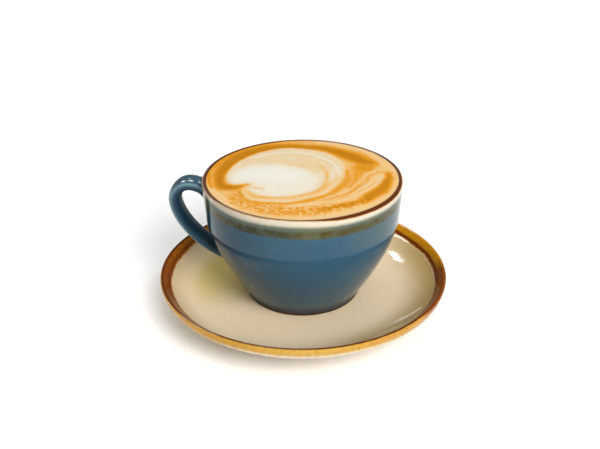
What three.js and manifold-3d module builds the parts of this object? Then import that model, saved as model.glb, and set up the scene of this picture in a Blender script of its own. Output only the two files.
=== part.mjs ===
import * as THREE from 'three';
import { mergeVertices } from 'three/addons/utils/BufferGeometryUtils.js';
import Module from 'manifold-3d';

// A latte in a stoneware cup on its saucer. Millimetres, +Z up.
// The origin is on the table under the middle of the saucer, and the handle points along -X.

// Steps round a turned piece, along a curved stretch of its outline, and round a lip.
const ROUND_STEPS = 64;
const CURVE_STEPS = 8;
const LIP_STEPS = 4;

// Saucer: a flat well for the cup, a shallow dish, a steep edge band and a rounded lip.
const SAUCER_RADIUS = 69.3;
const SAUCER_HEIGHT = 20;
const SAUCER_LIP = 1;
const WELL_RADIUS = 31;
const WELL_HEIGHT = 9;
const BAND_RADIUS = 63.7;
const BAND_HEIGHT = 15.6;
const DISH_POWER = 2.2;
const UNDERSIDE_EDGE = new THREE.Vector2(68.6, 15.8);
const UNDERSIDE_BEND = new THREE.Vector2(61, 7.4);

// Ring under the saucer that it stands on, with a recess inside it.
const RING_OUTER = 43.5;
const RING_INNER = 39;
const RING_EDGE = 0.6;
const RING_TAPER = 1;
const RING_HEIGHT = 4.8;
const RECESS_HEIGHT = 4.4;

// Cup: a bowl that swells from a small foot up to a shoulder, then a nearly upright wall.
const CUP_HEIGHT = 59.4;
const RIM_RADIUS = 46.5;
const CUP_LIP = 1.25;
const SHOULDER_RADIUS = 45.4;
const SHOULDER_HEIGHT = 40.5;
const SHOULDER_LEAN = THREE.MathUtils.degToRad(10);
const SHOULDER_PULL = 13;
const FOOT_RADIUS = 27.2;
const FOOT_HEIGHT = 3.2;
const FOOT_SPREAD = 1;
const FOOT_LEAN = THREE.MathUtils.degToRad(33);
const FOOT_PULL = 12;
const FOOT_EDGE = 0.6;
const FOOT_WIDTH = 4;
const FOOT_RECESS = 1.8;
const WALL = 3.6;
const FLOOR_HEIGHT = 7;

// Handle: a strap with an oval section, bent in an ear from under the rim to the lower wall.
// Its bends are given as distance from the cup's axis and height above the cup's foot.
const STRAP_WIDTH = 11.2;
const STRAP_THICKNESS = 5.8;
const STRAP_STEPS = 26;
const STRAP_HALF_SIDES = 8;
const EAR_TOP_ROOT = [44.5, 51.4];
const EAR_TOP_BEND = [54.7, 59.4];
const EAR_OUTER = [60.4, 47.1];
const EAR_OUTER_RISE = 4.9;
const EAR_OUTER_FALL = 8.8;
const EAR_LOW_BEND = [50.8, 24];
const EAR_LOW_ROOT = [35.5, 17.9];

// Drink: fills the cup to just under the lip, with a slightly domed top.
const DRINK_BELOW_LIP = 0.5;
const DRINK_DOME = 0.3;
const DRINK_STEPS = 4;

// Clearances between the pieces, and how close two corners are to count as one.
const REST_GAP = 0.1;
const FILL_GAP = 0.3;
const SAME_CORNER = 1e-4;

const wasm = await Module();
wasm.setup();

// Merges shared corners and drops the triangles that close to a line on the axis.
function weld(geometry) {
  geometry.deleteAttribute('normal');
  geometry.deleteAttribute('uv');
  const merged = mergeVertices(geometry, SAME_CORNER);
  const corners = merged.getIndex().array;
  const kept = [];
  for (let i = 0; i < corners.length; i += 3) {
    const [a, b, c] = corners.slice(i, i + 3);
    if (a !== b && b !== c && c !== a) kept.push(a, b, c);
  }
  merged.setIndex(kept);
  return merged;
}

function solid(geometry) {
  const vertProperties = Float32Array.from(geometry.getAttribute('position').array);
  const triVerts = Uint32Array.from(geometry.getIndex().array);
  return new wasm.Manifold(new wasm.Mesh({ numProp: 3, vertProperties, triVerts }));
}

function surface(body) {
  const { vertProperties, triVerts } = body.getMesh();
  const geometry = new THREE.BufferGeometry();
  geometry.setAttribute('position', new THREE.BufferAttribute(vertProperties, 3));
  geometry.setIndex(new THREE.BufferAttribute(triVerts, 1));
  return geometry;
}

// Turns an outline of [radius, height] points round the Z axis.
// The outline starts on the axis underneath and ends on it above.
function turned(outline) {
  const points = outline.map(([radius, height]) => new THREE.Vector2(radius, height));
  const geometry = new THREE.LatheGeometry(points, ROUND_STEPS);
  geometry.rotateX(Math.PI / 2);
  return weld(geometry);
}

// Round top of a wall, from its outer side over to its inner side.
function lip(outerRadius, top, radius) {
  const points = [];
  for (let i = 0; i <= LIP_STEPS; i += 1) {
    const turn = (Math.PI * i) / LIP_STEPS;
    const across = outerRadius - radius + radius * Math.cos(turn);
    points.push([across, top - radius + radius * Math.sin(turn)]);
  }
  return points;
}

// Upper face of the saucer between its well and its edge band, from the edge inwards.
function dish() {
  const points = [];
  for (let i = CURVE_STEPS; i >= 0; i -= 1) {
    const share = i / CURVE_STEPS;
    const radius = WELL_RADIUS + (BAND_RADIUS - WELL_RADIUS) * share;
    points.push([radius, WELL_HEIGHT + (BAND_HEIGHT - WELL_HEIGHT) * share ** DISH_POWER]);
  }
  return points;
}

function saucerOutline() {
  const start = new THREE.Vector2(RING_OUTER + RING_TAPER, RING_HEIGHT);
  const underside = new THREE.QuadraticBezierCurve(start, UNDERSIDE_BEND, UNDERSIDE_EDGE);
  return [
    [0, RECESS_HEIGHT],
    [RING_INNER - RING_TAPER, RECESS_HEIGHT],
    [RING_INNER, RING_EDGE],
    [RING_INNER + RING_EDGE, 0],
    [RING_OUTER - RING_EDGE, 0],
    [RING_OUTER, RING_EDGE],
    ...underside.getPoints(CURVE_STEPS).map((p) => [p.x, p.y]),
    ...lip(SAUCER_RADIUS, SAUCER_HEIGHT, SAUCER_LIP),
    ...dish(),
    [0, WELL_HEIGHT],
  ];
}

// Step of a given length that leans outwards from upright by an angle.
function lean(angle, length) {
  return new THREE.Vector2(Math.sin(angle), Math.cos(angle)).multiplyScalar(length);
}

// Bowl of the cup from its foot up to its shoulder, moved inwards by an inset.
// Points lower than the given height are left off.
function bowl(inset, lowest = 0) {
  const foot = new THREE.Vector2(FOOT_RADIUS + FOOT_SPREAD, FOOT_HEIGHT);
  const shoulder = new THREE.Vector2(SHOULDER_RADIUS, SHOULDER_HEIGHT);
  const curve = new THREE.CubicBezierCurve(
    foot,
    foot.clone().add(lean(FOOT_LEAN, FOOT_PULL)),
    shoulder.clone().sub(lean(SHOULDER_LEAN, SHOULDER_PULL)),
    shoulder,
  );
  const points = [];
  for (let i = 0; i <= CURVE_STEPS; i += 1) {
    const point = curve.getPoint(i / CURVE_STEPS);
    const along = curve.getTangent(i / CURVE_STEPS);
    const height = point.y + inset * along.x;
    if (height > lowest) points.push([point.x - inset * along.y, height]);
  }
  return points;
}

function cupOutline() {
  const recessRadius = FOOT_RADIUS - FOOT_WIDTH;
  const inside = bowl(WALL, FLOOR_HEIGHT).reverse();
  const [lowestRadius, lowestHeight] = inside.at(-1);
  return [
    [0, FOOT_RECESS],
    [recessRadius - FOOT_EDGE, FOOT_RECESS],
    [recessRadius, 0],
    [FOOT_RADIUS - FOOT_EDGE, 0],
    [FOOT_RADIUS, FOOT_EDGE],
    ...bowl(0),
    ...lip(RIM_RADIUS, CUP_HEIGHT, CUP_LIP),
    ...inside,
    [lowestRadius - (lowestHeight - FLOOR_HEIGHT), FLOOR_HEIGHT],
    [0, FLOOR_HEIGHT],
  ];
}

// Space inside the middle of the cup's wall, which trims the handle's ends.
function coreOutline() {
  const half = bowl(WALL / 2);
  const bottom = half[0][1];
  const mouth = RIM_RADIUS - CUP_LIP;
  const above = CUP_HEIGHT + STRAP_THICKNESS;
  return [[0, bottom], ...half, [mouth, CUP_HEIGHT], [mouth, above], [0, above]];
}

function handle() {
  const place = ([reach, height]) => new THREE.Vector3(-reach, 0, height);
  const [reach, middle] = EAR_OUTER;
  const path = new THREE.CurvePath();
  path.add(new THREE.CubicBezierCurve3(
    place(EAR_TOP_ROOT),
    place(EAR_TOP_BEND),
    place([reach, middle + EAR_OUTER_RISE]),
    place(EAR_OUTER),
  ));
  path.add(new THREE.CubicBezierCurve3(
    place(EAR_OUTER),
    place([reach, middle - EAR_OUTER_FALL]),
    place(EAR_LOW_BEND),
    place(EAR_LOW_ROOT),
  ));
  const section = new THREE.Shape();
  section.absellipse(0, 0, STRAP_WIDTH / 2, STRAP_THICKNESS / 2, 0, 2 * Math.PI);
  return weld(new THREE.ExtrudeGeometry(section, {
    steps: STRAP_STEPS,
    curveSegments: STRAP_HALF_SIDES,
    extrudePath: path,
    bevelEnabled: false,
  }));
}

function cup() {
  const strap = solid(handle()).subtract(solid(turned(coreOutline())));
  return surface(solid(turned(cupOutline())).add(strap));
}

function drinkOutline() {
  const side = bowl(WALL + FILL_GAP, FLOOR_HEIGHT + FILL_GAP);
  const [lowestRadius, lowestHeight] = side[0];
  const edge = RIM_RADIUS - 2 * CUP_LIP - FILL_GAP;
  const level = CUP_HEIGHT - DRINK_BELOW_LIP;
  const bottom = FLOOR_HEIGHT + FILL_GAP;
  const top = [];
  for (let i = DRINK_STEPS; i >= 0; i -= 1) {
    const share = i / DRINK_STEPS;
    top.push([edge * share, level + DRINK_DOME * (1 - share ** 2)]);
  }
  return [[0, bottom], [lowestRadius - (lowestHeight - bottom), bottom], ...side, ...top];
}

function piece(name, geometry, color, roughness) {
  geometry.computeVertexNormals();
  const mesh = new THREE.Mesh(geometry, new THREE.MeshStandardMaterial({ color, roughness, metalness: 0 }));
  mesh.name = name;
  return mesh;
}

// The cup and its drink stand together on the saucer's well.
const served = new THREE.Group();
served.position.z = WELL_HEIGHT + REST_GAP;
served.add(piece('cup', cup(), 0x4a6a80, 0.2));
served.add(piece('drink', turned(drinkOutline()), 0xe0ac62, 0.5));

const latte = new THREE.Group();
latte.add(piece('saucer', turned(saucerOutline()), 0xcfbb9e, 0.25));
latte.add(served);

export default latte;
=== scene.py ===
"""A latte with a poured swirl, in a glazed stoneware cup on its saucer."""

import math
from typing import NamedTuple

import bpy
import numpy as np
from mathutils import Euler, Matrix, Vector, noise


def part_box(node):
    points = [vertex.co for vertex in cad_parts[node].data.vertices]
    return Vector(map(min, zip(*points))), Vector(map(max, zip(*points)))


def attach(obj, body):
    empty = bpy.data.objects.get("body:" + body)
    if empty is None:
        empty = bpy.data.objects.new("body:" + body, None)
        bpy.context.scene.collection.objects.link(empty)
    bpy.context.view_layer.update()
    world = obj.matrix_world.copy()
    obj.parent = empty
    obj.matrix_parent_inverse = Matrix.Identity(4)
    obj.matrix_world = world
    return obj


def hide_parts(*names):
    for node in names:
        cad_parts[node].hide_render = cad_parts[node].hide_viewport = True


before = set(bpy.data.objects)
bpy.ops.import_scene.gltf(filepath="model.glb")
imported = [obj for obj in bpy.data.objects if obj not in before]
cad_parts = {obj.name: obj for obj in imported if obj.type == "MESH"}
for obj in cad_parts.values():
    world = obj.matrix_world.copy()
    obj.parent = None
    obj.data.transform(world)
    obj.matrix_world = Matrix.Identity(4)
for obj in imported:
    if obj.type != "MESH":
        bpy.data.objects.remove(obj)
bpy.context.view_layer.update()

bl_info = {
    "name": "Latte in a cup with saucer",
    "version": (1, 0, 0),
    "blender": (4, 5, 0),
    "location": "3D View > Sidebar > Latte",
    "description": "Makes the saucer, the cup, the poured drink and a plain stage",
    "category": "Add Mesh",
}

MM = 0.001
TURNED = "Turned piece"
WHITE = (1.0, 1.0, 1.0, 1.0)

# Factors that take the height out of a place and keep the rest.
LEVEL = (1.0, 1.0, 0.0)

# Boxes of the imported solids, which give the main sizes.
SAUCER_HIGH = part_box("saucer")[1]
CUP_LOW, CUP_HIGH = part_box("cup")

# Points round a turned piece, and steps along each curved stretch of an outline.
ROUND_STEPS = 288
DRINK_ROUND_STEPS = 420
CURVE_STEPS = 28
CORNER_STEPS = 6
LIP_STEPS = 14
STROKE_STEPS = 10

# Corners of a turned piece that are closer than this become one.
SAME_CORNER = 0.002 * MM

# Least square of a step's length, so that a step between equal corners can be divided by.
NO_LENGTH = 1e-18

# How uneven a thrown piece is, as a share of its radius, and how fast that changes round it and upwards.
SAUCER_UNEVEN = 0.003
CUP_UNEVEN = 0.002
UNEVEN_SCALE = 1.3
UNEVEN_RISE = 20

# Saucer, seen in half section: distance from the axis, then height above the table.
UNDERSIDE_EDGE = (68.6 * MM, 15.8 * MM)
UNDERSIDE_BEND = (61.0 * MM, 7.4 * MM)
RING_OUTER = 43.5 * MM
RING_INNER = 39.0 * MM
RING_TAPER = 1.0 * MM
RING_HEIGHT = 4.8 * MM
RECESS_HEIGHT = 4.4 * MM
RING_EDGE = 0.7 * MM
DISH_POWER = 2.2
BAND_BREAK = 1.4 * MM
LIP_START = math.radians(-8)
SAUCER_LIP_END = math.radians(133)

# Cup, seen in half section: heights above its own foot.
SHOULDER_LEAN = math.radians(10)
SHOULDER_PULL = 13.0 * MM
SHOULDER_BREAK = 0.9 * MM
FOOT_HEIGHT = 3.2 * MM
FOOT_SPREAD = 1.0 * MM
FOOT_LEAN = math.radians(33)
FOOT_PULL = 12.0 * MM
FOOT_EDGE = 0.7 * MM
FOOT_WIDTH = 4.0 * MM
FOOT_RECESS = 1.8 * MM
FLOOR_HEIGHT = 7.0 * MM

# Corners of the outline up the nearly upright wall, as shares of its height, and the wall's left side.
WALL_SHARES = np.linspace(0.15, 0.95, 14)
WALL_LEFT = -46.0 * MM

# Handle: two bends from under the rim to the lower wall, as millimetres from the axis and above the foot.
EAR_TOP = ((44.5, 51.4), (54.7, 59.4), (60.4, 52.0), (60.4, 47.1))
EAR_LOW = ((60.4, 47.1), (60.4, 38.3), (50.8, 24.0), (35.5, 17.9))
STRAP_STEPS = 120
STRAP_SIDES = 48
STRAP_FULLNESS = 2.4
ROOT_DEPTH = 1.8 * MM

# How far off the wall the handle's own glaze has set in.
STRAP_GLAZE_START = 0.6 * MM

# Drink: how far it reaches into the wall, how it climbs the wall at its edge, and the ripple on its top.
INTO_WALL = 0.3 * MM
CLIMB = 0.12 * MM
CLIMB_REACH = 0.6 * MM
RIPPLE = 0.05 * MM
RIPPLE_SIZE = 9.0 * MM

# The drink's top has this many rings, which crowd a little towards its edge.
DRINK_RINGS = 140
RING_CROWDING = 0.9

# The cup's handle points a little away from the drinker, so the pour and the view are turned to match.
FACING = math.radians(4)


class Pour(NamedTuple):
    """One stroke on the drink, as the drinker sees it.

    Its points are x, y and half width, and they and the soft edge are in millimetres."""

    points: tuple
    tone: float
    soft: float
    filled: bool = False


# Tones run from 0, dark coffee, to 1, white milk. The plain foam has the base tone up to a radius and
# turns to the edge tone over a width outside it, both in millimetres.
BASE_TONE = 0.56
EDGE_TONE = 0.65
EDGE_TONE_START = 38.0
EDGE_TONE_BLEND = 4.5

# Strokes of the pour. Later ones lie over earlier ones.
POURS = (
    # Coffee along the left and far edges, then froth and a coffee arc on the near side.
    Pour(((-42.8, 11, 0.6), (-39.8, 21, 2.2), (-34, 30, 3.4), (-26, 37, 2.6)), 0.25, 2.4),
    Pour(((-42, 14, 0.6), (-43.4, 5, 1), (-43.2, -5, 0.8), (-41.4, -12, 0.4)), 0.2, 1.4),
    Pour(((-27, 36.6, 2.4), (-14, 41.8, 2.8), (-3, 43.4, 2), (7, 43, 1)), 0.42, 2.4),
    Pour(
        ((-31, -17, 2), (-28, -26, 3.4), (-16, -33.5, 4.6), (0, -36, 4.4), (12, -34.5, 3.2), (21, -30, 2)),
        0.44,
        2.4,
    ),
    Pour(
        (
            (40.5, 3, 0.8), (39.2, -5, 2), (35.6, -14, 2.8),
            (30.4, -22, 2.8), (23, -28.5, 1.8), (8, -34.5, 1),
        ),
        0.08,
        2.2,
    ),
    # Coffee that the milk dragged round the right side, with pale streaks in it.
    Pour(
        (
            (27, 8, 5), (25.5, -2, 4.6), (21, -12, 4.6), (12, -22, 4),
            (-2, -28.5, 2.4), (-18, -28, 2), (-27, -21, 2),
        ),
        0.45,
        2.8,
    ),
    Pour(
        (
            (36.5, -1, 1.4), (31.6, -8, 2.6), (25.6, -17, 2),
            (17.6, -24, 1.3), (8, -28.2, 1.1), (-4, -31, 0.9),
        ),
        0.72,
        1.6,
    ),
    Pour(((40, 3.4, 0.5), (36, 4.4, 0.8), (31.5, 1.4, 0.7)), 0.40, 0.9),
    Pour(
        ((34, 5.4, 0.6), (29.6, 2, 1), (26, -5.5, 1.2), (21.6, -13, 1), (16, -20, 0.8), (7, -25.6, 0.6)),
        0.70,
        1.1,
    ),
    Pour(((34, -5, 0.4), (27.6, -15, 0.6), (20, -22.4, 0.5), (10, -27.2, 0.4)), 0.46, 0.6),
    Pour(
        ((31, -4, 0.3), (26.4, -11.4, 0.5), (20.4, -18.6, 0.5), (12, -24.4, 0.4), (2, -28, 0.3)),
        0.42,
        0.6,
    ),
    Pour(((25, 6, 0.5), (23.6, -3, 0.6), (20.4, -11, 0.6), (15.4, -18, 0.5), (7, -24, 0.4)), 0.60, 0.7),
    # The dark arc round the milk, its hooked end at the left and its tail at the right.
    Pour(((31, 14, 5), (27.5, 5, 3), (24.5, -4, 2), (21, -12, 1.6)), 0.38, 2.6),
    Pour(
        (
            (-30, -10.6, 2.4), (-36, -11.4, 3.4), (-38.2, -4, 3), (-38, 6, 3.2), (-35.8, 15, 4.4),
            (-31, 24.5, 5.6), (-23.5, 32.4, 5.2), (-13, 37, 3.6), (-2, 37.8, 2.6), (9, 35.2, 3),
            (18, 29.6, 4.2), (25, 23, 5.6), (30.2, 15.6, 5.2), (30, 10, 4),
        ),
        0.26,
        3.0,
    ),
    Pour(
        (
            (-22.4, -7.4, 0.3), (-27, -9, 1.4), (-31, -10.6, 2.2), (-36, -10.4, 2.4), (-37.6, -4, 2.4),
            (-37.4, 5, 2.6), (-35.2, 14, 3.4), (-30.4, 23.4, 3.8), (-23, 31.2, 3.4), (-13, 36, 2.2),
            (-2, 37.2, 1.7), (8, 34.8, 1.9), (16.4, 29.4, 2.9), (23.4, 23.2, 3.7), (28.4, 18, 3.2),
            (32, 15.4, 1.7),
        ),
        0.03,
        2.2,
    ),
    # Milk: the cream ring, the white heart inside it and the tan left between the two.
    Pour(
        (
            (-34.6, -1, 0), (-31.5, -7.6, 0), (-23.4, -8.2, 0), (-24.4, -15, 0), (-16, -21, 0),
            (-5, -20.5, 0), (5, -16, 0), (12, -8, 0), (16.5, -3, 0), (19.6, 4, 0), (20, 11, 0),
            (17.5, 20, 0), (9.5, 29, 0), (-1, 34, 0), (-11, 34, 0), (-21, 29.4, 0), (-30, 19, 0),
            (-34, 8, 0),
        ),
        0.85,
        1.5,
        True,
    ),
    Pour(
        ((-28, 12, 0.8), (-20, 20.5, 1), (-8, 24.6, 1.2), (4, 22, 1.2), (11.4, 14.6, 1), (14, 6, 0.8)),
        0.80,
        1.6,
    ),
    Pour(
        ((-24, 23, 0.6), (-12, 29, 0.8), (0, 28.4, 0.9), (9, 22.6, 0.9), (15.4, 13, 0.8), (16.6, 3, 0.8)),
        0.95,
        1.4,
    ),
    Pour(
        (
            (-33.6, -1, 0), (-31, -7, 0), (-23, -7.6, 0), (-23.8, -15, 0), (-16, -20.4, 0), (-5, -20, 0),
            (4.6, -15.6, 0), (8.2, -7, 0), (7.6, 1, 0), (2, 8, 0), (-7, 13.4, 0), (-18, 15.4, 0),
            (-29, 10, 0),
        ),
        0.96,
        4.5,
        True,
    ),
    Pour(((-26, 2, 5), (-16, 3, 7), (-6, -1, 6)), 1.0, 5.0),
    Pour(((-9, 16.5, 1.5), (0, 14.5, 3.4), (6, 11, 3), (8, 6, 1.4)), 0.79, 3.0),
    # Lines that the swirl drew round the heart.
    Pour(
        (
            (8.8, 12, 0.3), (11, 6.4, 0.5), (11.6, 0, 0.7), (10.8, -7, 0.8), (7.6, -14.2, 0.9),
            (2, -19.4, 0.9), (-6, -22.4, 0.9), (-15, -23, 0.8), (-22, -20.3, 0.6), (-25, -16, 0.5),
        ),
        0.50,
        0.9,
    ),
    Pour(
        (
            (16.3, -2, 1), (14, -10, 1.2), (9.8, -17.4, 1.2), (3, -22.6, 1.3), (-6, -25.4, 1.5),
            (-15, -25.8, 1.4), (-22.5, -23, 1.1), (-26.5, -17.5, 0.7),
        ),
        0.76,
        0.9,
    ),
    Pour(
        (
            (21.4, 6, 1.1), (20.4, -4, 1.5), (17.2, -12.6, 1.6), (11, -20.4, 1.5), (3, -26, 1.2),
            (-8, -28.6, 1), (-20, -27, 1), (-27.4, -21.4, 1.3), (-29, -15, 1),
        ),
        0.36,
        1.3,
    ),
    Pour(((-20.8, -12.6, 1.3), (-18.6, -13.2, 1)), 0.74, 1.4),
)

# Where the foam is full of bubbles, and the middle that the swirl runs round.
FROTH = Pour(
    ((-29, -17, 2.5), (-27, -27, 3.5), (-14, -34, 4.4), (2, -36, 4.4), (16, -32.5, 3.6), (30, -24, 2)),
    1.0,
    2.4,
)
SWIRL_MIDDLE = (-8 * MM, 2 * MM, 0.0)

# How the flow pushes the strokes about: the size of each eddy and how far it pushes, in millimetres.
EDDIES = ((11.0, 0.9), (3.5, 0.35))
SEED = 7

# Camera and lights of the stage. Places are in metres from the cup's axis on the table.
LENS = 50.2
VIEW_DISTANCE = 0.399
VIEW_HEIGHT = math.radians(27.4)
VIEW_ROLL = math.radians(-0.5)
VIEW_TARGET = (-1.3 * MM, 0.0, 43.1 * MM)
FLOOR_SIZE = 6.0
SAUCER_RIGHT = (0.05, 0.03, 0.01)
CUP_MIDDLE = (0.0, 0.0, 0.03)
HANDLE_MIDDLE = (-0.05, 0.0, 0.05)
HANDLE_TOP = (-0.053, 0.0, 0.066)


class Lamp(NamedTuple):
    """One soft light. A mirrored one is only seen in the glaze, and any other is never seen there."""

    name: str
    setting: str
    place: tuple
    target: tuple
    width: float
    height: float
    mirrored: bool = False
    spread: float = math.pi


LAMPS = (
    Lamp("overhead", "top_power", (0.0, -0.1, 1.4), (0.0, -0.1, 0.0), 1.8, 1.8),
    Lamp("key", "key_power", (0.5, -0.77, 0.7), CUP_MIDDLE, 0.6, 0.6),
    Lamp("fill", "fill_power", (-0.9, 0.35, 0.55), CUP_MIDDLE, 0.6, 0.6),
    Lamp("far", "far_power", (0.0, 1.15, 1.1), (0.0, 1.15, 0.0), 1.8, 0.8, spread=math.radians(130)),
    Lamp("left_pane", "pane_power", (-0.19, 0.714, 0.70), SAUCER_RIGHT, 0.028, 0.034, True),
    Lamp("right_pane", "pane_power", (-0.183, 0.749, 0.662), SAUCER_RIGHT, 0.03, 0.02, True),
    Lamp("high_pane", "window_power", (-0.114, 0.376, 0.88), HANDLE_TOP, 0.26, 0.28, True),
    Lamp("side_pane", "window_power", (-0.495, 0.362, 0.761), HANDLE_TOP, 0.26, 0.28, True),
    Lamp("card", "card_power", (-0.256, 1.8, 0.34), CUP_MIDDLE, 0.11, 0.05, True),
    Lamp("strip", "strip_power", (-0.7, 0.25, 0.25), HANDLE_MIDDLE, 0.08, 0.5, True),
)


def length(name, description, metres):
    return bpy.props.FloatProperty(
        name=name, description=description, default=metres, min=0.0, precision=4, unit="LENGTH"
    )


def light_power(name, description, watts):
    return bpy.props.FloatProperty(name=name, description=description, default=watts, min=0.0, unit="POWER")


def linear(level):
    """Light level of a display value from 0 to 255."""
    share = level / 255
    return share / 12.92 if share <= 0.04045 else ((share + 0.055) / 1.055) ** 2.4


def colour(name, description, red, green, blue):
    return bpy.props.FloatVectorProperty(
        name=name,
        description=description,
        default=(linear(red), linear(green), linear(blue)),
        min=0.0,
        max=1.0,
        subtype="COLOR",
    )


class SaucerSettings(bpy.types.PropertyGroup):
    radius: length("Radius", "From the axis to the outside of the lip", SAUCER_HIGH.x)
    height: length("Height", "From the table to the top of the lip", SAUCER_HIGH.z)
    lip: length("Lip", "Radius of the rounded lip", 1.0 * MM)
    well_radius: length("Well radius", "Flat middle that the cup stands on", 31.0 * MM)
    well_height: length("Well height", "From the table to the flat middle", 9.0 * MM)
    band_radius: length("Band radius", "Where the dish turns up into its edge", 63.7 * MM)
    band_height: length("Band height", "Height at which the dish turns up", 15.6 * MM)
    cream: colour("Cream", "Glaze of the dish", 226, 205, 172)
    # Painted shade: a yellow tint for the dish behind the handle.
    shade_ochre: colour("Ochre", "Glaze of the dish where it is thick", 206, 184, 92)
    # Painted shade: darkens the dish towards its sides.
    shade_dun: colour("Dun", "Glaze of the dish towards its sides", 164, 138, 80)
    brown: colour("Brown", "Glaze where it breaks at the edge", 84, 34, 0)
    russet: colour("Russet", "Dark glaze on the slope of the edge", 116, 50, 0)
    amber: colour("Amber", "Glaze of the edge", 178, 108, 0)
    honey: colour("Honey", "Glaze of the edge where it is thin", 198, 136, 4)
    gold: colour("Gold", "Glaze on the outside of the lip", 198, 156, 72)
    pale: colour("Pale", "Glaze of the underside", 222, 204, 176)
    clay: colour("Clay", "Bare clay of the standing ring", 205, 178, 148)


class CupSettings(bpy.types.PropertyGroup):
    rim_radius: length("Rim radius", "From the axis to the outside of the lip", CUP_HIGH.y)
    height: length("Height", "From the foot to the top of the lip", CUP_HIGH.z - CUP_LOW.z)
    lip: length("Lip", "Radius of the rounded lip", 1.25 * MM)
    wall: length("Wall", "Thickness of the bowl", 3.6 * MM)
    shoulder_radius: length("Shoulder radius", "Radius where the bowl turns upright", 45.4 * MM)
    shoulder_height: length("Shoulder height", "Height where the bowl turns upright", 40.5 * MM)
    foot_radius: length("Foot radius", "Outside of the foot", 27.2 * MM)
    strap_width: length("Handle width", "Width of the handle's strap", 11.2 * MM)
    strap_thickness: length("Handle thickness", "Thickness of the handle's strap", 5.8 * MM)
    fillet: length("Handle fillet", "Radius where the handle runs into the wall", 2.6 * MM)
    blue: colour("Blue", "Glaze of the wall", 45, 78, 98)
    slate: colour("Slate", "Glaze of the wall where it is thin", 52, 84, 100)
    # Painted shade: a darker blue that the wall is tinted with towards the handle.
    shade_navy: colour("Navy", "Glaze of the wall where it is thick", 34, 62, 78)
    # Partly the handle's thin glaze and partly painted reflection on its outside.
    ridge_glaze_and_sheen: colour("Ridge", "Thin glaze on the outside of the handle", 105, 134, 142)
    flank: colour("Flank", "Glaze on the sides of the handle", 37, 63, 79)
    # Painted shade: the dark colour inside the handle's bend.
    bend_shade: colour("Deep", "Glaze inside the handle's bend", 27, 51, 67)
    # Bare clay of the foot's edge, made dark as painted contact shadow.
    bare: colour("Bare", "Edge of the foot that the glaze leaves bare", 56, 40, 30)
    olive: colour("Olive", "Band where the glaze breaks", 68, 58, 12)
    bark: colour("Bark", "Dark patches of the band", 44, 42, 14)
    moss: colour("Moss", "Grey-green between the band and the lip", 93, 100, 77)
    ivory: colour("Ivory", "Thin glaze just under the lip", 202, 191, 170)
    amber: colour("Amber", "Edge of the lip", 190, 150, 92)
    brown: colour("Brown", "Glaze inside the lip", 84, 36, 0)


class DrinkSettings(bpy.types.PropertyGroup):
    below_lip: length("Below the lip", "From the top of the lip down to the edge of the drink", 0.4 * MM)
    dome: length("Dome", "How much the middle stands above the edge", 0.2 * MM)
    coffee: colour("Coffee", "Darkest crema", 171, 108, 0)
    crema: colour("Crema", "Orange crema", 206, 138, 30)
    tan: colour("Tan", "Crema mixed with milk", 214, 174, 112)
    cream: colour("Cream", "Milk with a trace of crema", 208, 187, 150)
    milk: colour("Milk", "White milk foam", 213, 210, 198)


class StageSettings(bpy.types.PropertyGroup):
    floor: colour("Floor", "Pale floor", 250, 250, 249)
    top_power: light_power("Overhead", "Wide soft light from above", 7.4)
    key_power: light_power("Key", "Soft light from the front right", 14.8)
    fill_power: light_power("Fill", "Weak soft light from the far left", 2.0)
    pane_power: light_power("Panes", "Small window panes behind that give the saucer its highlight", 0.28)
    far_power: light_power("Far", "Wide light that keeps the far floor white", 9.0)
    window_power: light_power("Windows", "Windows behind that give the handle its highlights", 6.0)
    card_power: light_power("Card", "Low white card behind, seen in the saucer's glaze", 0.07)
    strip_power: light_power("Strip", "Narrow light at the left that edges the handle", 0.8)
    surround: bpy.props.FloatProperty(
        name="Surround", description="Even white light from all sides", default=0.2, min=0.0
    )


def group(settings, name, description):
    return bpy.props.PointerProperty(type=settings, name=name, description=description)


class LatteSettings(bpy.types.PropertyGroup):
    saucer: group(SaucerSettings, "Saucer", "Sizes and glazes of the saucer")
    cup: group(CupSettings, "Cup", "Sizes and glazes of the cup")
    drink: group(DrinkSettings, "Drink", "Level and colours of the drink")
    stage: group(StageSettings, "Stage", "Floor and lights")


class Value:
    """One output of a node. Arithmetic on values adds Math nodes."""

    def __init__(self, graph, socket):
        self.graph = graph
        self.socket = socket

    def __add__(self, other):
        return self.graph.math("ADD", self, other)

    def __radd__(self, other):
        return self.graph.math("ADD", other, self)

    def __sub__(self, other):
        return self.graph.math("SUBTRACT", self, other)

    def __rsub__(self, other):
        return self.graph.math("SUBTRACT", other, self)

    def __mul__(self, other):
        return self.graph.math("MULTIPLY", self, other)

    def __rmul__(self, other):
        return self.graph.math("MULTIPLY", other, self)

    def __truediv__(self, other):
        return self.graph.math("DIVIDE", self, other)

    def __rtruediv__(self, other):
        return self.graph.math("DIVIDE", other, self)

    def rise(self, low, high):
        """0 below the low value, 1 above the high one and a smooth rise between."""
        return self.graph.node(
            "ShaderNodeMapRange",
            {"interpolation_type": "SMOOTHSTEP"},
            {"Value": self, "From Min": low, "From Max": high},
        )

    def fall(self, low, high):
        """1 below the low value, 0 above the high one and a smooth fall between."""
        return 1 - self.rise(low, high)


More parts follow.
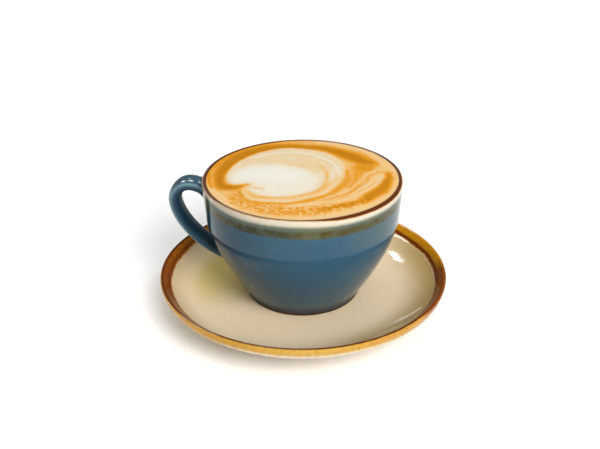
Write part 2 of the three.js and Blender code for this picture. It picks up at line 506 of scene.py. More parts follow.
class Graph:
    """A node tree under construction."""

    def __init__(self, tree):
        self.tree = tree

    def node(self, kind, settings=None, sockets=None, output=0):
        made = self.tree.nodes.new(kind)
        for name, value in (settings or {}).items():
            if name == "stops":
                self.stops(made.color_ramp, value)
            else:
                setattr(made, name, value)
        for name, value in (sockets or {}).items():
            if isinstance(value, Value):
                self.tree.links.new(value.socket, made.inputs[name])
            else:
                made.inputs[name].default_value = value
        return Value(self, made.outputs[output]) if made.outputs else None

    def stops(self, ramp, stops):
        """Fills a colour ramp from places and colours, in rising order."""
        while len(ramp.elements) < len(stops):
            ramp.elements.new(1.0)
        for element, (place, shade) in zip(ramp.elements, stops):
            element.position = place
            element.color = rgba(shade)

    def math(self, operation, *terms):
        return self.node("ShaderNodeMath", {"operation": operation}, dict(enumerate(terms)))

    def vector(self, operation, *terms, output=0):
        return self.node("ShaderNodeVectorMath", {"operation": operation}, dict(enumerate(terms)), output)

    def spot(self):
        """Place on the piece, in metres from the origin."""
        return self.node("ShaderNodeTexCoord", None, None, "Object")

    def stored(self, name):
        """A number that the mesh keeps for each of its corners."""
        return self.node("ShaderNodeAttribute", {"attribute_name": name}, None, "Fac")

    def axis(self, where, letter):
        return self.node("ShaderNodeSeparateXYZ", None, {0: where}, letter)

    def noise(self, where, scale, detail, seed):
        """Cloudy values from 0 to 1. A higher scale gives smaller clouds."""
        return self.node(
            "ShaderNodeTexNoise",
            {"noise_dimensions": "4D"},
            {"Vector": where, "W": seed, "Scale": scale, "Detail": detail},
        )

    def towards(self, where, degrees):
        """1 on the side that lies some degrees round to the right of the drinker's side, and -1 opposite."""
        turn = FACING + math.radians(degrees)
        direction = (math.sin(turn), -math.cos(turn), 0.0)
        way = self.vector("NORMALIZE", self.vector("MULTIPLY", where, LEVEL))
        return self.vector("DOT_PRODUCT", way, direction, output="Value")

    def mix(self, share, first, second):
        """One colour turning into another as the share goes from 0 to 1."""
        return self.node("ShaderNodeMix", {"data_type": "RGBA"}, {0: share, 6: first, 7: second}, 2)

    def tint(self, base, *tints):
        """A colour with others laid over it in turn, each by a share of its own."""
        for share, shade in tints:
            base = self.mix(share, base, rgba(shade))
        return base

    def brighten(self, shade, factor):
        return self.node("ShaderNodeHueSaturation", None, {"Value": factor, "Color": shade})

    def bands(self, place, stops):
        """Colours that follow one another along a value, with the stops given in that value's unit."""
        low, high = stops[0][0], stops[-1][0]
        shares = [((at - low) / (high - low), shade) for at, shade in stops]
        share = (place - low) / (high - low)
        return self.node("ShaderNodeValToRGB", {"stops": shares}, {"Fac": share})

    def bump(self, height, millimetres, strength):
        sockets = {"Height": height, "Strength": strength, "Distance": millimetres * MM}
        return self.node("ShaderNodeBump", None, sockets)


def finish(name):
    """A new material with an empty node tree, and the graph that fills it."""
    material = bpy.data.materials.new(name)
    material.use_nodes = True
    material.node_tree.nodes.clear()
    return material, Graph(material.node_tree)


def surface(graph, sockets):
    """Ends a material in one shader with the given sockets."""
    shader = graph.node("ShaderNodeBsdfPrincipled", None, sockets)
    graph.node("ShaderNodeOutputMaterial", None, {"Surface": shader})


def rgba(shade):
    return (*shade, 1.0)


def unit(vectors):
    return vectors / np.linalg.norm(vectors, axis=1, keepdims=True)


def quadratic(points, steps):
    """Points along a bend that is pulled towards its middle point."""
    a, b, c = (np.array(point, float) for point in points)
    t = np.linspace(0, 1, steps + 1)[:, None]
    return list(a * (1 - t) ** 2 + 2 * b * t * (1 - t) + c * t**2)


def cubic(points, steps):
    """Points along a bend that is pulled towards its two middle points, with the direction at each."""
    a, b, c, d = (np.array(point, float) for point in points)
    t = np.linspace(0, 1, steps + 1)[:, None]
    places = a * (1 - t) ** 3 + 3 * b * t * (1 - t) ** 2 + 3 * c * t**2 * (1 - t) + d * t**3
    ways = (b - a) * (1 - t) ** 2 + 2 * (c - b) * t * (1 - t) + (d - c) * t**2
    return places, unit(ways)


def corner(before, point, after, cut):
    """Points that round a corner off, starting and ending at the cut's distance from it."""
    before, point, after = (np.array(place, float) for place in (before, point, after))
    start = point + (before - point) * cut / np.linalg.norm(before - point)
    end = point + (after - point) * cut / np.linalg.norm(after - point)
    return quadratic((start, point, end), CORNER_STEPS)


def rounded(line, cut):
    """A line with its corners rounded off, without its last point."""
    points = [line[0]]
    for before, point, after in zip(line, line[1:], line[2:]):
        points += corner(before, point, after, cut)
    return points


def arc(centre, radius, start, end, steps):
    turns = np.linspace(start, end, steps + 1)
    return [(centre[0] + radius * math.cos(turn), centre[1] + radius * math.sin(turn)) for turn in turns]


def saucer_outline(saucer):
    """Half section of the saucer, from the axis underneath to the axis above, and its lip's top."""
    ring = [
        (0, RECESS_HEIGHT),
        (RING_INNER - RING_TAPER, RECESS_HEIGHT),
        (RING_INNER, 0),
        (RING_OUTER, 0),
        (RING_OUTER + RING_TAPER, RING_HEIGHT),
    ]
    points = rounded(ring, RING_EDGE)
    points += quadratic((ring[-1], UNDERSIDE_BEND, UNDERSIDE_EDGE), CURVE_STEPS)
    middle = (saucer.radius - saucer.lip, saucer.height - saucer.lip)
    points += arc(middle, saucer.lip, LIP_START, SAUCER_LIP_END, LIP_STEPS)
    shares = np.linspace(1, 0, CURVE_STEPS + 1)
    radii = saucer.well_radius + (saucer.band_radius - saucer.well_radius) * shares
    heights = saucer.well_height + (saucer.band_height - saucer.well_height) * shares**DISH_POWER
    dish = list(zip(radii, heights))
    points += corner(points[-1], dish[0], dish[2], BAND_BREAK)
    points += dish[3:]
    points.append((0, saucer.well_height))
    return np.array(points), (middle[0], saucer.height)


def lean(angle, distance):
    return np.array((math.sin(angle), math.cos(angle))) * distance


def bowl(cup, inset):
    """Side of the bowl from its foot to its shoulder, moved inwards from the outside by an inset."""
    foot = np.array((cup.foot_radius + FOOT_SPREAD, FOOT_HEIGHT))
    shoulder = np.array((cup.shoulder_radius, cup.shoulder_height))
    leave = foot + lean(FOOT_LEAN, FOOT_PULL)
    arrive = shoulder - lean(SHOULDER_LEAN, SHOULDER_PULL)
    places, ways = cubic((foot, leave, arrive, shoulder), CURVE_STEPS)
    return places + inset * np.column_stack((-ways[:, 1], ways[:, 0]))


def lip_middle(cup):
    return cup.rim_radius - cup.lip, cup.height - cup.lip


def inside(cup, inset, bottom):
    """Inner side of the wall from the shoulder down to a flat bottom."""
    side = bowl(cup, inset)[::-1]
    side = side[side[:, 1] > bottom + FOOT_EDGE]
    low = side[-1]
    turn = (low[0] - (low[1] - bottom), bottom)
    return [*side, *corner(low, turn, (0, bottom), FOOT_EDGE), (0, bottom)]


def cup_outline(cup):
    """Half section of the cup, from the axis underneath to the axis above, and its lip's top."""
    outer = bowl(cup, 0)
    recess = cup.foot_radius - FOOT_WIDTH
    foot = [
        (0, FOOT_RECESS),
        (recess - FOOT_EDGE, FOOT_RECESS),
        (recess, 0),
        (cup.foot_radius, 0),
        outer[0],
        outer[1],
    ]
    points = rounded(foot, FOOT_EDGE)
    middle = lip_middle(cup)
    shoulder = outer[-1]
    wall_top = np.array((cup.rim_radius, middle[1]))
    points += list(outer[1:-1])
    points += corner(outer[-2], shoulder, wall_top, SHOULDER_BREAK)
    points += [shoulder + (wall_top - shoulder) * share for share in WALL_SHARES]
    points += arc(middle, cup.lip, 0, math.pi, LIP_STEPS)
    points += inside(cup, cup.wall, FLOOR_HEIGHT)
    return np.array(points), (middle[0], cup.height)


def drink_outline(cup, drink):
    """Half section of the drink, from the axis underneath to the axis above."""
    points = inside(cup, cup.wall - INTO_WALL, FLOOR_HEIGHT)[::-1]
    middle = lip_middle(cup)
    points.append((middle[0] - cup.lip + INTO_WALL, middle[1]))
    level = cup.height - drink.below_lip
    edge = middle[0] - cup.lip / 2
    shares = np.linspace(1, 0, DRINK_RINGS + 1) ** RING_CROWDING
    climb = CLIMB * np.exp(-edge * (1 - shares) / CLIMB_REACH)
    tops = level + drink.dome * (1 - shares**2) + climb
    points += list(zip(edge * shares, tops))
    return np.array(points)


def turning_tree():
    """Geometry nodes that turn an outline round the Z axis and make it as uneven as a thrown pot."""
    tree = bpy.data.node_groups.new(TURNED, "GeometryNodeTree")
    inputs = {
        "Outline": "Geometry",
        "Steps": "Int",
        "Unevenness": "Float",
        "Seed": "Float",
        "Finish": "Material",
    }
    for name, kind in inputs.items():
        tree.interface.new_socket(name, in_out="INPUT", socket_type=f"NodeSocket{kind}")
    tree.interface.new_socket("Piece", in_out="OUTPUT", socket_type="NodeSocketGeometry")
    graph = Graph(tree)
    start = tree.nodes.new("NodeGroupInput")
    outline, steps, unevenness, seed, coat = (Value(graph, start.outputs[name]) for name in inputs)

    count = graph.node(
        "GeometryNodeAttributeDomainSize", {"component": "MESH"}, {"Geometry": outline}, "Point Count"
    )
    grid = graph.node("GeometryNodeMeshGrid", None, {"Vertices X": steps + 1, "Vertices Y": count})
    index = graph.node("GeometryNodeInputIndex")
    row = graph.math("FLOORED_MODULO", index, count)
    column = graph.math("FLOOR", index / count)
    position = graph.node("GeometryNodeInputPosition")
    point = graph.node(
        "GeometryNodeSampleIndex",
        {"data_type": "FLOAT_VECTOR", "domain": "POINT"},
        {"Geometry": outline, "Value": position, "Index": row},
    )
    radius = graph.axis(point, "X")
    height = graph.axis(point, "Z")
    turn = column / steps * math.tau
    across = graph.math("COSINE", turn)
    along = graph.math("SINE", turn)
    spot = graph.node("ShaderNodeCombineXYZ", None, {"X": across, "Y": along, "Z": height * UNEVEN_RISE})
    swell = graph.noise(spot, UNEVEN_SCALE, 1.0, seed)
    uneven = radius * (1 + (swell - 0.5) * unevenness)
    sockets = {"X": uneven * across, "Y": uneven * along, "Z": height}
    place = graph.node("ShaderNodeCombineXYZ", None, sockets)
    turned = graph.node("GeometryNodeSetPosition", None, {"Geometry": grid, "Position": place})
    closed = graph.node("GeometryNodeMergeByDistance", None, {"Geometry": turned, "Distance": SAME_CORNER})
    smooth = graph.node("GeometryNodeSetShadeSmooth", None, {"Geometry": closed})
    real = graph.node("GeometryNodeRealizeInstances", None, {"Geometry": smooth})
    coated = graph.node("GeometryNodeSetMaterial", None, {"Geometry": real, "Material": coat})
    graph.node("NodeGroupOutput", None, {"Piece": coated})
    return tree


def settle(piece):
    """Applies a piece's modifiers, which leaves it as a plain mesh."""
    depsgraph = bpy.context.evaluated_depsgraph_get()
    mesh = bpy.data.meshes.new_from_object(
        piece.evaluated_get(depsgraph), preserve_all_data_layers=True, depsgraph=depsgraph
    )
    piece.modifiers.clear()
    piece.data = mesh


def put(name, data):
    """A new object in the scene."""
    made = bpy.data.objects.new(name, data)
    bpy.context.scene.collection.objects.link(made)
    return made


def turn_piece(name, outline, base, steps, unevenness, coat):
    """Turns an outline into a closed piece that stands at a base height."""
    mesh = bpy.data.meshes.new(name)
    corners = [(radius, 0.0, height + base) for radius, height in outline]
    mesh.from_pydata(corners, [(i, i + 1) for i in range(len(corners) - 1)], [])
    piece = put(name, mesh)
    tree = bpy.data.node_groups.get(TURNED) or turning_tree()
    modifier = piece.modifiers.new("Turn", "NODES")
    modifier.node_group = tree
    values = {"Steps": steps, "Unevenness": unevenness, "Seed": float(SEED), "Finish": coat}
    for item in tree.interface.items_tree:
        if item.name in values:
            modifier[item.identifier] = values[item.name]
    settle(piece)
    return piece


def corners_of(mesh):
    flat = np.empty(len(mesh.vertices) * 3)
    mesh.vertices.foreach_get("co", flat)
    return flat.reshape(-1, 3)


def store(mesh, name, values):
    """Keeps one number for each corner of a mesh, for its material to read."""
    layer = mesh.attributes.new(name, "FLOAT", "POINT")
    layer.data.foreach_set("value", np.asarray(values, np.float32))


def nearest(spots, line):
    """Distance from each spot to a line, and the place along the line, counted in its corners."""
    gaps = np.full(len(spots), np.inf)
    places = np.zeros(len(spots))
    for i, (start, step) in enumerate(zip(line[:-1], np.diff(line, axis=0))):
        share = np.clip((spots - start) @ step / max(step @ step, NO_LENGTH), 0, 1)
        gap = np.linalg.norm(spots - start - share[:, None] * step, axis=1)
        closer = gap < gaps
        gaps[closer] = gap[closer]
        places[closer] = i + share[closer]
    return gaps, places


def measure_from_lip(piece, outline, lip, base):
    """Stores how far each corner lies from the top of the lip along the surface: outside is above zero.

    Returns how far each corner stands off the turned surface."""
    spots = corners_of(piece.data)
    section = np.column_stack((np.hypot(spots[:, 0], spots[:, 1]), spots[:, 2] - base))
    gaps, places = nearest(section, outline)
    run = np.concatenate(([0], np.cumsum(np.linalg.norm(np.diff(outline, axis=0), axis=1))))
    corner_numbers = np.arange(len(outline))
    lip_place = nearest(np.array([lip]), outline)[1]
    lip_run = np.interp(lip_place, corner_numbers, run)
    store(piece.data, "from_lip", (lip_run - np.interp(places, corner_numbers, run)) / MM)
    return gaps


def ear_path():
    """Middle line of the handle from its upper to its lower root, with the direction at each point."""
    upper, upper_ways = cubic(EAR_TOP, STRAP_STEPS)
    lower, lower_ways = cubic(EAR_LOW, STRAP_STEPS)
    return np.vstack((upper, lower[1:])) * MM, np.vstack((upper_ways, lower_ways[1:]))


def fuller(share):
    """A sine or cosine made larger between its ends, which fills the corners of an oval."""
    return math.copysign(abs(share) ** (2 / STRAP_FULLNESS), share)


def handle(cup, wall, base, coat):
    """The handle: an oval strap swept along its two bends, widening where it meets the wall."""
    path, ways = ear_path()
    outwards = np.column_stack((-ways[:, 1], np.zeros(len(ways)), ways[:, 0]))
    sideways = np.array((0.0, 1.0, 0.0))
    middle = np.column_stack((path[:, 0], np.zeros(len(path)), path[:, 1]))
    rows = []
    for turn in np.linspace(0, math.tau, STRAP_SIDES, endpoint=False):
        wide = fuller(math.cos(turn)) * cup.strap_width / 2
        thick = fuller(math.sin(turn)) * cup.strap_thickness / 2
        line = middle + outwards * thick + sideways * wide
        clear, away = stand_off(line, wall)
        spread = outwards * thick / cup.strap_thickness**2 + sideways * wide / cup.strap_width**2
        spread = unit(spread - away * np.sum(spread * away, axis=1, keepdims=True))
        inner = np.clip(cup.fillet - clear, 0, cup.fillet)
        flare = cup.fillet - np.sqrt(cup.fillet**2 - inner**2)
        line += spread * flare[:, None]
        shown = np.flatnonzero(clear > -ROOT_DEPTH)
        line = line[shown[0] : shown[-1] + 1]
        places = np.linspace(0, len(line) - 1, 2 * STRAP_STEPS)
        rows.append(np.column_stack([np.interp(places, np.arange(len(line)), axis) for axis in line.T]))
    return tube("handle", np.array(rows) * (-1, 1, 1) + (0, 0, base), coat)


def stand_off(line, wall):
    """How far points stand off the wall's outer face, below zero inside it, and the way off the wall."""
    radii = np.hypot(line[:, 0], line[:, 1])
    section = np.column_stack((radii, line[:, 2]))
    gaps, places = nearest(section, wall)
    steps = unit(np.diff(wall, axis=0)[np.minimum(places.astype(int), len(wall) - 2)])
    reach = np.interp(section[:, 1], wall[:, 1], wall[:, 0])
    share = (steps[:, 1] / radii)[:, None]
    away = np.column_stack((line[:, :2] * share, -steps[:, 0]))
    return np.where(radii > reach, gaps, -gaps), away


def outer_side(mesh, cup, base):
    """How far each corner lies towards the outside of the handle's bend, from -1 to 1 across the strap."""
    path, ways = ear_path()
    spots = corners_of(mesh)[:, (0, 2)] * (-1, 1) - (0, base)
    places = nearest(spots, path)[1].round().astype(int)
    outwards = np.column_stack((-ways[:, 1], ways[:, 0]))[places]
    return np.sum((spots - path[places]) * outwards, axis=1) / (cup.strap_thickness / 2)


def tube(name, rows, coat):
    """A closed tube from lengthwise rows of points, with a fan over each end."""
    sides, steps = rows.shape[:2]
    corners = [tuple(point) for point in rows.reshape(-1, 3)]
    corners += [tuple(rows[:, 0].mean(axis=0)), tuple(rows[:, -1].mean(axis=0))]
    faces = []
    for side in range(sides):
        here, beside = side * steps, (side + 1) % sides * steps
        for step in range(steps - 1):
            faces.append((here + step, here + step + 1, beside + step + 1, beside + step))
        faces.append((here, beside, sides * steps))
        faces.append((beside + steps - 1, here + steps - 1, sides * steps + 1))
    mesh = bpy.data.meshes.new(name)
    mesh.from_pydata(corners, [], faces)
    mesh.materials.append(coat)
    mesh.shade_smooth()
    return put(name, mesh)


def join(piece, other):
    """Makes one piece of two that cross."""
    modifier = piece.modifiers.new("Join", "BOOLEAN")
    modifier.operation = "UNION"
    modifier.solver = "EXACT"
    modifier.object = other
    settle(piece)
    bpy.data.objects.remove(other)


def through(points, closed):
    """A smooth line through the points of a stroke."""
    points = np.array(points, float)
    if closed:
        ends = np.vstack((points[-1], points, points[:2]))
    else:
        ends = np.vstack((2 * points[0] - points[1], points, 2 * points[-1] - points[-2]))
    t = np.linspace(0, 1, STROKE_STEPS, endpoint=False)[:, None]
    line = []
    for a, b, c, d in zip(ends, ends[1:], ends[2:], ends[3:]):
        line.append(b + 0.5 * t * (c - a + t * (2 * a - 5 * b + 4 * c - d + t * (3 * (b - c) + d - a))))
    return np.vstack((*line, ends[-2:-1]))


def within(spots, line):
    """Which spots lie inside a closed line."""
    found = np.zeros(len(spots), bool)
    for (x0, y0), (x1, y1) in zip(line[:-1], line[1:]):
        if y0 == y1:
            continue
        crosses = (y0 > spots[:, 1]) != (y1 > spots[:, 1])
        found ^= crosses & (spots[:, 0] < x0 + (spots[:, 1] - y0) * (x1 - x0) / (y1 - y0))
    return found


def cover(spots, pour):
    """How much of each spot a stroke covers, from 0 to 1."""
    line = through(pour.points, pour.filled)
    gaps, places = nearest(spots, line[:, :2])
    if pour.filled:
        past = np.where(within(spots, line[:, :2]), -gaps, gaps)
    else:
        past = gaps - np.interp(places, np.arange(len(line)), line[:, 2])
    share = np.clip(0.5 - past / (2 * pour.soft), 0, 1)
    return share * share * (3 - 2 * share)


def wander(spots):
    """Spots pushed about a little, as by the flow of the milk."""
    noise.seed_set(SEED)
    moved = spots.copy()
    for size, amount in EDDIES:
        for i, (x, y) in enumerate(spots):
            push = noise.noise_vector(Vector((x / size, y / size, SEED + size)))
            moved[i, 0] += push.x * amount
            moved[i, 1] += push.y * amount
    return moved


def pour_tones(mesh):
    """Stores the tone of the milk on each corner of the drink, and how frothy it is there."""
    spots = corners_of(mesh)[:, :2] / MM
    radii = np.hypot(spots[:, 0], spots[:, 1])
    turn = np.array(((math.cos(FACING), -math.sin(FACING)), (math.sin(FACING), math.cos(FACING))))
    spots = wander(spots @ turn)
    near_edge = np.clip((radii - EDGE_TONE_START) / EDGE_TONE_BLEND, 0, 1)
    tones = BASE_TONE + (EDGE_TONE - BASE_TONE) * near_edge
    for pour in POURS:
        tones += (pour.tone - tones) * cover(spots, pour)
    store(mesh, "tone", tones)
    store(mesh, "froth", cover(spots, FROTH))


def ripple(mesh, level):
    """Raises and lowers the top of the drink a little."""
    for vertex in mesh.vertices:
        if vertex.co.z > level:
            vertex.co.z += RIPPLE * noise.noise(vertex.co / RIPPLE_SIZE)


def saucer_glaze(saucer):
    """Cream glaze that breaks to amber, brown and gold at the edge.

    Bands are placed by millimetres from the top of the lip along the surface, above zero outside."""
    material, graph = finish("saucer_glaze")
    spot = graph.spot()
    from_lip = graph.stored("from_lip")
    slow = graph.noise(spot, 38, 2, SEED)
    quick = graph.noise(spot, 300, 4, SEED + 1)
    fine = graph.noise(spot, 1500, 3, SEED + 2)
    flecks = graph.noise(graph.vector("MULTIPLY", spot, (1.0, 1.0, 0.25)), 1100, 4, SEED + 10)

    # The bands wander on the slope of the edge, and the gold ends higher on the drinker's side.
    inner = from_lip + ((slow - 0.5) * 2.8 + (quick - 0.5) * 1.4) * from_lip.fall(-4.0, -1.5)
    higher = graph.towards(spot, 0).rise(0.5, 0.95) * 3.4 * from_lip.rise(1.0, 4.0)
    shifted = inner + higher + (quick - 0.5) * 0.5
    edge = graph.bands(
        shifted,
        (
            (-9.0, saucer.cream),
            (-6.6, saucer.cream),
            (-5.5, saucer.amber),
            (-4.4, saucer.russet),
            (-2.4, saucer.amber),
            (-1.2, saucer.amber),
            (-0.6, saucer.brown),
            (0.3, saucer.brown),
            (0.9, saucer.gold),
            (7.0, saucer.gold),
            (8.4, saucer.pale),
            (10.0, saucer.pale),
        ),
    )

    # Each side of the edge came out of the kiln a little darker or thinner in its own way.
    slope = inner.rise(-6.2, -5.4)
    outside = from_lip.rise(0.4, 1.0) * shifted.fall(5.5, 7.5)
    burnt = graph.towards(spot, 100).rise(0.4, 0.9) * inner.rise(-6.0, -5.2) * inner.fall(-4.2, -3.2)
    thin = graph.towards(spot, 115).rise(0.5, 0.95) * inner.rise(-4.2, -3.0) * from_lip.fall(0.2, 0.8)
    toasted = graph.towards(spot, 52).rise(0.6, 1.0) * outside
    golden = graph.towards(spot, -62).rise(0.4, 0.9) * outside
    tanned = graph.towards(spot, -64).rise(0.6, 0.95) * slope * from_lip.fall(-0.4, 0.2)
    scorched = graph.towards(spot, 72).rise(0.90, 0.97) * slope * from_lip.fall(2.0, 4.0)
    mottle = flecks.rise(0.45, 0.75) * from_lip.rise(-6.5, -5.5) * from_lip.fall(5.5, 7.5)
    clouds = quick.rise(0.35, 0.65) * from_lip.rise(-5.5, -4.5) * from_lip.fall(-1.0, -0.4)

    # In the dish a yellow tint is painted as shade behind the handle, and painted shade darkens the dish
    # towards both sides.
    dish = shifted.fall(-6.8, -5.8)
    yellow_shade = graph.towards(spot, -125).rise(0.3, 1.0) * from_lip.fall(-24, -8)
    right = graph.towards(spot, 74).rise(0.15, 0.9) * from_lip.rise(-27, -7)
    left = graph.towards(spot, -85).rise(0.5, 1.0) * from_lip.rise(-17, -7)
    glaze = graph.tint(
        edge,
        (burnt * 0.7, saucer.brown),
        (thin * 0.85, saucer.honey),
        (toasted * 0.45, saucer.amber),
        (golden * 0.5, saucer.honey),
        (tanned * 0.75, saucer.russet),
        (scorched * 0.85, saucer.russet),
        (mottle * 0.35 + clouds * 0.3, saucer.brown),
        (yellow_shade * dish * 0.8, saucer.shade_ochre),
        ((right * 0.95 + left * 0.5) * dish, saucer.shade_dun),
    )
    shaded = graph.brighten(glaze, 1 + (fine - 0.5) * 0.10 + (quick - 0.5) * 0.10)
    bare = graph.axis(spot, "Z").fall(0.3 * MM, 0.8 * MM)
    surface(
        graph,
        {
            "Base Color": graph.tint(shaded, (bare, saucer.clay)),
            "Roughness": 0.04 + 0.08 * quick + bare * 0.6,
            "IOR": 1.34,
            "Specular IOR Level": 0.3,
            "Normal": graph.bump(slow + quick * 0.25, 0.5, 0.25),
        },
    )
    return material


def cup_glaze(cup):
    """Slate-blue glaze that breaks to olive, ivory and brown at the lip, with painted shade towards the
    handle and inside its bend, and a paler outside of the handle that is partly thin glaze and partly
    painted reflection.

    Bands are placed by millimetres from the top of the lip along the surface, above zero outside."""
    material, graph = finish("cup_glaze")
    spot = graph.spot()
    from_lip, on_strap, outer = (graph.stored(name) for name in ("from_lip", "on_strap", "outer"))
    across, height = graph.axis(spot, "X"), graph.axis(spot, "Z")
    slow = graph.noise(spot, 34, 2, SEED + 3)
    quick = graph.noise(spot, 240, 4, SEED + 4)
    fine = graph.noise(spot, 1600, 3, SEED + 5)
    streaks = graph.noise(graph.vector("MULTIPLY", spot, (1.0, 1.0, 0.12)), 420, 3, SEED + 6)

    # The wall is darkened towards the handle as painted shade, and tinted greyer near the top on the right.
    thick = across.fall(WALL_LEFT, 0.0)
    greyed = graph.towards(spot, 62).rise(0.7, 1.0) * height.rise(49 * MM, 52 * MM)
    wall = graph.tint(
        rgba(cup.blue),
        (slow.rise(0.3, 0.7), cup.slate),
        (thick * 0.6, cup.shade_navy),
        (greyed * 0.3, cup.moss),
    )

    # The lip is brown inside and ivory outside, and the brown reaches further over it on some sides.
    ring = (
        graph.towards(spot, 42).rise(0.72, 1.0) * 1.1
        + graph.towards(spot, -70).rise(0.5, 0.9) * 0.2
        - graph.towards(spot, 180).rise(0.2, 0.9) * 0.5
    )
    lip = graph.bands(
        from_lip + (quick - 0.5) * 0.5 - ring,
        (
            (-3.0, cup.brown),
            (0.4, cup.brown),
            (0.7, cup.amber),
            (1.1, cup.ivory),
            (3.0, cup.ivory),
        ),
    )

    # Under the ivory come a grey-green veil, then the olive band, then the open wall.
    run = (slow - 0.5) * 2.0 + (streaks - 0.5) * 1.2
    early = across.fall(WALL_LEFT, -24 * MM)
    under_lip = (from_lip + run * 0.4 + early - ring * 0.5).rise(2.5, 4.6)
    veil = graph.mix(slow.rise(0.35, 0.65) * 0.4, rgba(cup.moss), wall)
    veiled = graph.mix(under_lip, lip, veil)
    pale = graph.towards(spot, 0).rise(0.975, 1.0)
    dark = graph.towards(spot, -25).rise(0.9, 0.99) * (0.6 + 0.4 * streaks.rise(0.4, 0.6))
    olives = graph.tint(rgba(cup.olive), (pale * 0.22, cup.moss), (dark, cup.bark))
    run_down = from_lip + run * from_lip.rise(3.0, 6.0) * 0.7
    side = 0.4 + 0.6 * across.rise(WALL_LEFT, -34 * MM)
    patches = 0.65 + 0.35 * quick.rise(0.4, 0.6)
    banded = graph.mix(run_down.rise(4.8, 6.8) * side * patches, veiled, olives)
    open_wall = graph.mix(run_down.rise(9.0, 9.9), banded, wall)

    # Across the strap the colour runs from painted shade inside its bend to a pale outside that is partly
    # thin glaze and partly painted reflection; the pale is held back on its top, and its lower root is
    # lightened as painted light where the cup shades it.
    root_painted_light = height.fall(30 * MM, 44 * MM) * outer.fall(0.0, 0.5)
    top = height.rise(60 * MM, 63 * MM) * outer.rise(0.45, 0.75)
    strap = graph.tint(
        graph.bands(
            outer,
            ((-1.0, cup.bend_shade), (-0.5, cup.bend_shade), (0.0, cup.flank), (0.5, cup.ridge_glaze_and_sheen), (1.2, cup.ridge_glaze_and_sheen)),
        ),
        (root_painted_light * 0.8, cup.slate),
        (top * 0.85, cup.flank),
    )
    glazed = graph.mix(on_strap, open_wall, strap)

    # Towards the foot the wall darkens to the bare colour over its lowest millimetres; the edge is the
    # foot's bare clay, made darker as painted contact shadow.
    above_foot = (height - CUP_LOW.z) / MM + (quick - 0.5) * 0.8
    bare = 1 - 0.4 * above_foot.rise(1.3, 2.2) - 0.6 * above_foot.rise(2.6, 9.0)
    # Painted shade: the lower wall towards the handle is darkened further.
    low_left_shade = thick * (1 - on_strap) * (1 - 0.6 * height.rise(25 * MM, 50 * MM))
    depth = 1 + (fine - 0.5) * 0.12 + (streaks - 0.5) * 0.12
    shaded = graph.brighten(graph.tint(glazed, (bare, cup.bare)), depth * (1 - 0.42 * low_left_shade))

    # The gloss is softer on the brown ring and inside the handle's bend.
    soft_ring = from_lip.rise(-4.0, -3.0) * (from_lip - ring).fall(0.6, 1.2)
    soft_bend = on_strap * outer.fall(-0.7, -0.1)
    surface(
        graph,
        {
            "Base Color": shaded,
            "Roughness": 0.06 + 0.10 * quick + bare * 0.5 + soft_ring * 0.25 + soft_bend * 0.35,
            "IOR": 1.35,
            "Specular IOR Level": 0.35,
            "Normal": graph.bump(slow + quick * 0.2, 0.5, 0.25),
        },
    )
    return material


def milk_foam(drink):
    """Foam in the tones of the pour, with froth and with fine lines drawn round the swirl."""
    material, graph = finish("milk_foam")
    spot = graph.spot()
    tone, frothy = graph.stored("tone"), graph.stored("froth")
    wisps = graph.noise(spot, 190, 4, SEED + 7)
    froth = graph.noise(spot, 640, 4, SEED + 8)
    bubbles = graph.node(
        "ShaderNodeTexVoronoi", {"feature": "F1"}, {"Vector": spot, "Scale": 1300.0}, "Distance"
    )

    # Clouds that change quickly away from the swirl's middle and slowly round it make the drawn lines.
    reach = graph.vector("MULTIPLY", graph.vector("SUBTRACT", spot, SWIRL_MIDDLE), LEVEL)
    distance = graph.vector("LENGTH", reach, output="Value") + (wisps - 0.5) * 3 * MM
    around = graph.vector("MULTIPLY", graph.vector("NORMALIZE", reach), (2.6 * MM, 2.6 * MM, 0.0))
    lifted = graph.node("ShaderNodeCombineXYZ", None, {"Z": distance})
    drawn = graph.noise(graph.vector("ADD", around, lifted), 620, 3, SEED + 11)

    # White milk is smooth, and the crema between white and dark is the most stirred.
    stirred = 0.05 + 0.40 * tone.rise(0.25, 0.5) * tone.fall(0.8, 0.98)
    smooth = 1 - tone.rise(0.8, 0.95) * 0.7
    speckle = (froth - 0.49) * (0.2 * smooth + 1.15 * frothy)
    pits = bubbles.fall(0.1, 0.35) * frothy * 0.08
    shade = graph.bands(
        tone + (wisps - 0.5) * 0.08 * smooth + (drawn - 0.5) * stirred + speckle - pits,
        (
            (0.0, drink.coffee),
            (0.36, drink.crema),
            (0.60, drink.tan),
            (0.86, drink.cream),
            (1.0, drink.milk),
        ),
    )
    surface(
        graph,
        {
            "Base Color": shade,
            "Roughness": 0.42 + 0.2 * froth,
            "Specular IOR Level": 0.02,
            "Subsurface Weight": 0.15,
            "Subsurface Radius": (1.0, 0.7, 0.4),
            "Subsurface Scale": 1.0 * MM,
            "Normal": graph.bump(bubbles * frothy + froth * 0.3, 0.15, 0.3),
        },
    )
    return material


def floor_paint(stage):
    """Pale matt paint with a faint cloudiness."""
    material, graph = finish("floor_paint")
    cloud = graph.noise(graph.spot(), 6, 2, SEED + 9)
    tint = graph.mix(cloud * 0.04, rgba(stage.floor), WHITE)
    surface(graph, {"Base Color": tint, "Roughness": 0.9, "Specular IOR Level": 0.1})
    return material


class LATTE_OT_saucer(bpy.types.Operator):
    """Makes the saucer with its standing ring, dish, edge band and lip"""

    bl_idname = "latte.saucer"
    bl_label = "Saucer"

    def execute(self, context):
        saucer = context.scene.latte.saucer
        outline, lip = saucer_outline(saucer)
        piece = turn_piece("saucer_glazed", outline, 0.0, ROUND_STEPS, SAUCER_UNEVEN, saucer_glaze(saucer))
        measure_from_lip(piece, outline, lip, 0.0)
        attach(piece, "root")
        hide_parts("saucer")
        return {"FINISHED"}


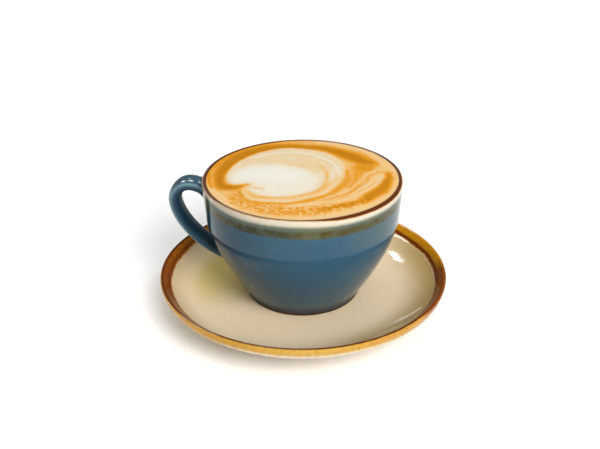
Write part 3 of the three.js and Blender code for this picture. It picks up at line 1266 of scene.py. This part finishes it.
class LATTE_OT_cup(bpy.types.Operator):
    """Makes the cup with its foot, bowl, lip and handle"""

    bl_idname = "latte.cup"
    bl_label = "Cup"

    def execute(self, context):
        cup = context.scene.latte.cup
        coat = cup_glaze(cup)
        outline, lip = cup_outline(cup)
        piece = turn_piece("cup_glazed", outline, CUP_LOW.z, ROUND_STEPS, CUP_UNEVEN, coat)
        upright = (cup.rim_radius, cup.height - cup.lip), (cup.rim_radius, cup.height)
        wall = np.vstack((bowl(cup, 0), *upright))
        join(piece, handle(cup, wall, CUP_LOW.z, coat))
        gaps = measure_from_lip(piece, outline, lip, CUP_LOW.z)
        store(piece.data, "on_strap", np.clip(gaps / STRAP_GLAZE_START, 0, 1))
        store(piece.data, "outer", outer_side(piece.data, cup, CUP_LOW.z))
        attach(piece, "root")
        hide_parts("cup")
        return {"FINISHED"}


class LATTE_OT_drink(bpy.types.Operator):
    """Makes the drink with the swirl poured on its top"""

    bl_idname = "latte.drink"
    bl_label = "Drink"

    def execute(self, context):
        cup, drink = context.scene.latte.cup, context.scene.latte.drink
        outline = drink_outline(cup, drink)
        piece = turn_piece("drink_poured", outline, CUP_LOW.z, DRINK_ROUND_STEPS, 0.0, milk_foam(drink))
        ripple(piece.data, CUP_HIGH.z - cup.lip)
        pour_tones(piece.data)
        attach(piece, "root")
        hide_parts("drink")
        return {"FINISHED"}


def area_light(lamp, watts):
    data = bpy.data.lights.new(lamp.name, "AREA")
    data.shape = "RECTANGLE"
    data.size = lamp.width
    data.size_y = lamp.height
    data.spread = lamp.spread
    data.energy = watts
    light = put(lamp.name, data)
    light.location = lamp.place
    light.rotation_euler = (Vector(lamp.target) - Vector(lamp.place)).to_track_quat("-Z", "Y").to_euler()
    light.visible_glossy = lamp.mirrored
    light.visible_diffuse = not lamp.mirrored


class LATTE_OT_stage(bpy.types.Operator):
    """Makes the floor, the lights and the camera"""

    bl_idname = "latte.stage"
    bl_label = "Stage"

    def execute(self, context):
        stage = context.scene.latte.stage
        half = FLOOR_SIZE / 2
        corners = [(-half, -half, 0), (half, -half, 0), (half, half, 0), (-half, half, 0)]
        mesh = bpy.data.meshes.new("floor")
        mesh.from_pydata(corners, [], [(0, 1, 2, 3)])
        mesh.materials.append(floor_paint(stage))
        put("floor", mesh)

        world = bpy.data.worlds.new("surround")
        world.use_nodes = True
        back = world.node_tree.nodes["Background"]
        back.inputs["Color"].default_value = WHITE
        back.inputs["Strength"].default_value = stage.surround
        context.scene.world = world

        for lamp in LAMPS:
            area_light(lamp, getattr(stage, lamp.setting))

        lens = bpy.data.cameras.new("camera")
        lens.lens = LENS
        camera = put("camera", lens)
        turn = Euler((math.pi / 2 - VIEW_HEIGHT, 0.0, FACING)).to_matrix()
        roll = Euler((0.0, 0.0, VIEW_ROLL)).to_matrix()
        target = Euler((0.0, 0.0, FACING)).to_matrix() @ Vector(VIEW_TARGET)
        camera.location = target + turn @ Vector((0.0, 0.0, VIEW_DISTANCE))
        camera.rotation_euler = (turn @ roll).to_euler()
        context.scene.camera = camera
        context.scene.view_settings.view_transform = "Standard"
        return {"FINISHED"}


class LATTE_PT_panel(bpy.types.Panel):
    """Lists the pieces of the latte and their sizes and colours"""

    bl_idname = "LATTE_PT_panel"
    bl_label = "Latte"
    bl_space_type = "VIEW_3D"
    bl_region_type = "UI"
    bl_category = "Latte"

    def draw(self, context):
        for name in ("saucer", "cup", "drink", "stage"):
            box = self.layout.box()
            box.operator(f"latte.{name}")
            settings = getattr(context.scene.latte, name)
            for key in settings.__annotations__:
                box.prop(settings, key)


CLASSES = (
    SaucerSettings,
    CupSettings,
    DrinkSettings,
    StageSettings,
    LatteSettings,
    LATTE_OT_saucer,
    LATTE_OT_cup,
    LATTE_OT_drink,
    LATTE_OT_stage,
    LATTE_PT_panel,
)


def register():
    for cls in CLASSES:
        bpy.utils.register_class(cls)
    bpy.types.Scene.latte = group(LatteSettings, "Latte", "Everything that the latte is made from")


def unregister():
    del bpy.types.Scene.latte
    for cls in reversed(CLASSES):
        bpy.utils.unregister_class(cls)


def main():
    register()
    bpy.ops.latte.saucer()
    bpy.ops.latte.cup()
    bpy.ops.latte.drink()
    bpy.ops.latte.stage()


if __name__ == "__main__":
    main()
